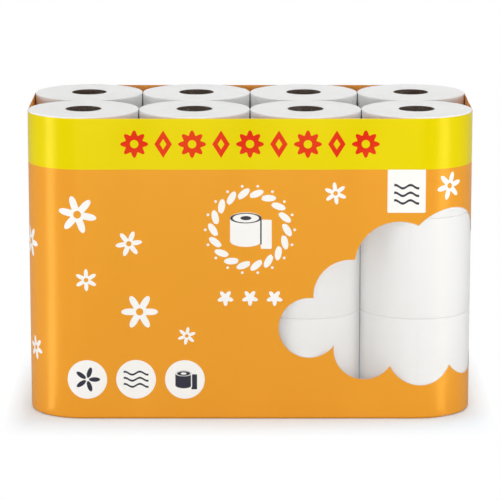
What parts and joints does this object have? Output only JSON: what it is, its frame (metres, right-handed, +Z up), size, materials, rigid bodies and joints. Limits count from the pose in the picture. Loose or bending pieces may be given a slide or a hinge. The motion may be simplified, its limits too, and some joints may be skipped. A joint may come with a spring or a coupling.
{
  "type": "toilet paper roll pack",
  "caption": "Block of upright toilet paper rolls on cardboard cores, stacked in layers and sealed in one printed film wrap with a clear window and a clear top.",
  "frame": {"origin": "centre of the base, on the surface that the pack stands on", "axes": "+X along the four columns of rolls, +Y from the front with the window to the back with the seam, +Z up along the rolls' own axes"},
  "size_m": [0.4376, 0.2193, 0.3015],
  "materials": {
    "film": "satin",
    "tissue": "matte",
    "core_board": "matte"
  },
  "bodies": {
    "root": {"film_wrap": "film", "roll_bottom_front_1": "tissue", "roll_bottom_front_2": "tissue", "roll_bottom_front_3": "tissue", "roll_bottom_front_4": "tissue", "roll_bottom_back_1": "tissue", "roll_bottom_back_2": "tissue", "roll_bottom_back_3": "tissue", "roll_bottom_back_4": "tissue", "roll_middle_front_1": "tissue", "roll_middle_front_2": "tissue", "roll_middle_front_3": "tissue", "roll_middle_front_4": "tissue", "roll_middle_back_1": "tissue", "roll_middle_back_2": "tissue", "roll_middle_back_3": "tissue", "roll_middle_back_4": "tissue", "roll_top_front_1": "tissue", "roll_top_front_2": "tissue", "roll_top_front_3": "tissue", "roll_top_front_4": "tissue", "roll_top_back_1": "tissue", "roll_top_back_2": "tissue", "roll_top_back_3": "tissue", "roll_top_back_4": "tissue", "core_bottom_front_1": "core_board", "core_bottom_front_2": "core_board", "core_bottom_front_3": "core_board", "core_bottom_front_4": "core_board", "core_bottom_back_1": "core_board", "core_bottom_back_2": "core_board", "core_bottom_back_3": "core_board", "core_bottom_back_4": "core_board", "core_middle_front_1": "core_board", "core_middle_front_2": "core_board", "core_middle_front_3": "core_board", "core_middle_front_4": "core_board", "core_middle_back_1": "core_board", "core_middle_back_2": "core_board", "core_middle_back_3": "core_board", "core_middle_back_4": "core_board", "core_top_front_1": "core_board", "core_top_front_2": "core_board", "core_top_front_3": "core_board", "core_top_front_4": "core_board", "core_top_back_1": "core_board", "core_top_back_2": "core_board", "core_top_back_3": "core_board", "core_top_back_4": "core_board"}
  },
  "joints": []
}
